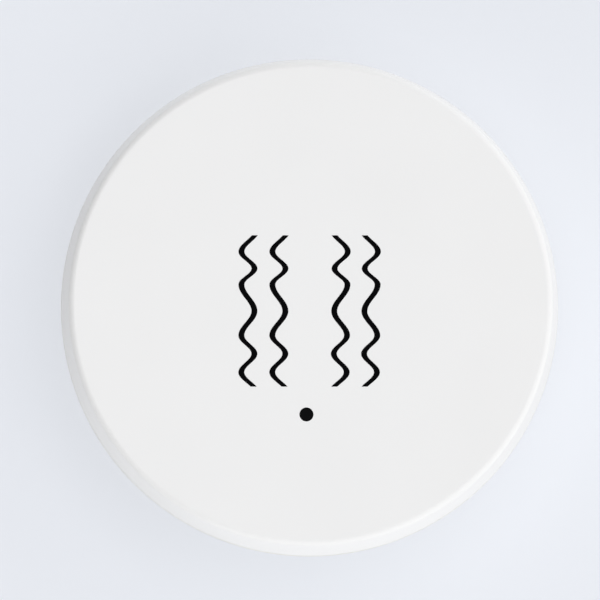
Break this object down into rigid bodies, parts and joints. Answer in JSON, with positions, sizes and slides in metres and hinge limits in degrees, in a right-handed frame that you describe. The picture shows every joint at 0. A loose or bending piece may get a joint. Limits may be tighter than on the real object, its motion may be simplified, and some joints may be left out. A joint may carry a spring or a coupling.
{
  "type": "vibration sensor tag",
  "caption": "Round white stick-on vibration sensor with a pull-off head, a status window, a coin cell, a radio board, a pairing button and a spring switch that senses shaking.",
  "frame": {"origin": "middle of the sticky face of the pad, where the tag meets its surface", "axes": "+Z out of the face, away from the surface; -Y towards the status window; +X to the right as the face is looked at"},
  "size_m": [0.046, 0.046, 0.013],
  "materials": {
    "base_cover": "moulded, fine spark texture",
    "adhesive_pad": "white closed-cell foam tape",
    "front_shell": "moulded, fine spark texture",
    "light_pipe": "smoked clear plastic",
    "main_board": "green solder mask",
    "board_screws": "bright zinc",
    "cell_holder": "moulded, satin",
    "plus_contact": "gold-flashed spring strip",
    "minus_contact": "gold-flashed spring strip",
    "coin_cell_can": "drawn and nickel plated",
    "coin_cell_gasket": "plain",
    "coin_cell_cap": "drawn and nickel plated",
    "radio_module": "green solder mask",
    "module_shield": "tinned sheet",
    "status_led": "clear resin on a white base",
    "chip_capacitors": "ceramic with tinned ends",
    "chip_resistors": "glaze with tinned ends",
    "buffer_capacitor": "moulded resin",
    "switch_case": "moulded",
    "switch_cover": "stamped",
    "switch_plunger": "moulded",
    "switch_dome": "bright",
    "switch_terminals": "tinned",
    "sense_tube": "heat-shrunk sleeve over a case",
    "sense_plug": "moulded",
    "sense_spring": "gold-plated wire",
    "sense_pin": "tinned wire",
    "sense_lead": "tinned wire"
  },
  "bodies": {
    "base": {"base_cover": "base_cover", "adhesive_pad": "adhesive_pad"},
    "head": {"front_shell": "front_shell", "light_pipe": "light_pipe", "main_board": "main_board", "board_screws": "board_screws", "cell_holder": "cell_holder", "plus_contact": "plus_contact", "minus_contact": "minus_contact", "coin_cell_can": "coin_cell_can", "coin_cell_gasket": "coin_cell_gasket", "coin_cell_cap": "coin_cell_cap", "radio_module": "radio_module", "module_shield": "module_shield", "status_led": "status_led", "chip_capacitors": "chip_capacitors", "chip_resistors": "chip_resistors", "buffer_capacitor": "buffer_capacitor", "switch_case": "switch_case", "switch_cover": "switch_cover", "switch_dome": "switch_dome", "switch_terminals": "switch_terminals", "sense_tube": "sense_tube", "sense_plug": "sense_plug", "sense_pin": "sense_pin", "sense_lead": "sense_lead"},
    "button": {"switch_plunger": "switch_plunger"},
    "sense coil": {"sense_spring": "sense_spring"}
  },
  "joints": [
    {"name": "head_pull", "type": "slide", "parent": "base", "child": "head", "axis": [0, 0, 1], "range_m": [0, 0.03]},
    {"name": "pair_press", "type": "slide", "parent": "head", "child": "button", "axis": [0, 0, 1], "range_m": [0, 0.00025], "stiffness_N_per_m": 2000, "deforming": ["switch_dome"]},
    {"name": "sense_sway", "type": "hinge", "parent": "head", "child": "sense coil", "pos_m": [0.0087, -0.0017, 0.0053], "axis": [0, 0, 1], "range_deg": [-3.8, 3.8], "stiffness_Nm_per_rad": 0.00008}
  ]
}
